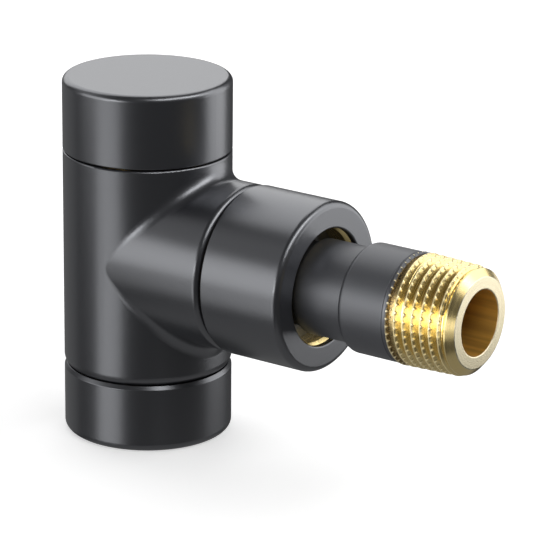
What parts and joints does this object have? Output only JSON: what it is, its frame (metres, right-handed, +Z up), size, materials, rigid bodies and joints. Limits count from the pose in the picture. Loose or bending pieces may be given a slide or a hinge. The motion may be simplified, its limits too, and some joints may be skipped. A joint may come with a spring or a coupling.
{
  "type": "angled lockshield radiator valve",
  "caption": "Round angled lockshield valve for a radiator: painted shell with screw cap, sliding nut covers, tailpipe with taper thread and compression inlet for pipe.",
  "frame": {"origin": "centre of the pipe inlet in the underside of the inlet cover, which is also the face the valve stands on", "axes": "+Z up along the spindle axis, +X along the tailpipe towards the radiator, +Y completes a right-handed frame"},
  "size_m": [0.0904, 0.032, 0.0695],
  "materials": {
    "painted_brass": "satin anthracite powder paint over brass",
    "bare_brass": "turned, bright",
    "sealing_rubber": "moulded, matt black",
    "gland_plastic": "off-white, smooth",
    "spring_steel": "bright drawn"
  },
  "bodies": {
    "valve": {"valve_body": "painted_brass", "bonnet": "bare_brass", "bonnet_o_ring": "sealing_rubber", "gland_washer": "gland_plastic", "gland_nut": "bare_brass"},
    "disc": {"valve_disc": "bare_brass", "disc_seal": "sealing_rubber", "disc_washer": "bare_brass", "disc_screw": "spring_steel", "disc_clip": "spring_steel"},
    "spindle": {"spindle": "bare_brass", "spindle_lower_o_ring": "sealing_rubber", "spindle_upper_o_ring": "sealing_rubber"},
    "cap_lifter": {"cap_seal": "sealing_rubber"},
    "cap": {"cap": "painted_brass"},
    "union_seal": {"tail_o_ring": "sealing_rubber"},
    "tail": {"tailpipe": "painted_brass"},
    "union": {"union_nut": "bare_brass", "nut_cover_ring": "sealing_rubber"},
    "nut_sleeve": {"nut_cover": "painted_brass"},
    "pipe_grip": {"olive": "bare_brass"},
    "clamp": {"clamp_nut": "bare_brass", "inlet_cover_ring": "sealing_rubber"},
    "inlet_sleeve": {"inlet_cover": "painted_brass"}
  },
  "joints": [
    {"name": "disc_lift", "type": "slide", "parent": "valve", "child": "disc", "axis": [0, 0, 1], "range_m": [0, 0.004]},
    {"name": "spindle_turn", "type": "hinge", "parent": "disc", "child": "spindle", "pos_m": [0, 0, 0.032], "axis": [0, 0, 1], "range_deg": [0, 1440]},
    {"name": "cap_lift", "type": "slide", "parent": "valve", "child": "cap_lifter", "axis": [0, 0, 1], "range_m": [0, 0.0075]},
    {"name": "cap_turn", "type": "hinge", "parent": "cap_lifter", "child": "cap", "pos_m": [0, 0, 0.0626], "axis": [0, 0, 1], "range_deg": [0, 1800]},
    {"name": "union_draw", "type": "slide", "parent": "valve", "child": "union_seal", "axis": [1, 0, 0], "range_m": [0, 0.00907]},
    {"name": "nut_turn", "type": "hinge", "parent": "union_seal", "child": "union", "pos_m": [0.0329, 0, 0.036], "axis": [1, 0, 0], "range_deg": [0, 1800]},
    {"name": "tail_swivel", "type": "hinge", "parent": "union_seal", "child": "tail", "pos_m": [0.0329, 0, 0.036], "axis": [1, 0, 0], "continuous": true},
    {"name": "nut_cover_slide", "type": "slide", "parent": "union", "child": "nut_sleeve", "axis": [1, 0, 0], "range_m": [0, 0.018]},
    {"name": "olive_drop", "type": "slide", "parent": "valve", "child": "pipe_grip", "axis": [0, 0, -1], "range_m": [0, 0.00726]},
    {"name": "clamp_nut_turn", "type": "hinge", "parent": "pipe_grip", "child": "clamp", "pos_m": [0, 0, 0.005], "axis": [0, 0, -1], "range_deg": [0, 1440]},
    {"name": "inlet_cover_slide", "type": "slide", "parent": "clamp", "child": "inlet_sleeve", "axis": [0, 0, -1], "range_m": [0, 0.014]}
  ],
  "couplings": [
    {"joint": "spindle_turn", "follows": "disc_lift", "rad_per_m": 6283.2},
    {"joint": "cap_lift", "follows": "cap_turn", "m_per_rad": 0.00023873},
    {"joint": "union_draw", "follows": "nut_turn", "m_per_rad": 0.00028871},
    {"joint": "olive_drop", "follows": "clamp_nut_turn", "m_per_rad": 0.00028871}
  ]
}
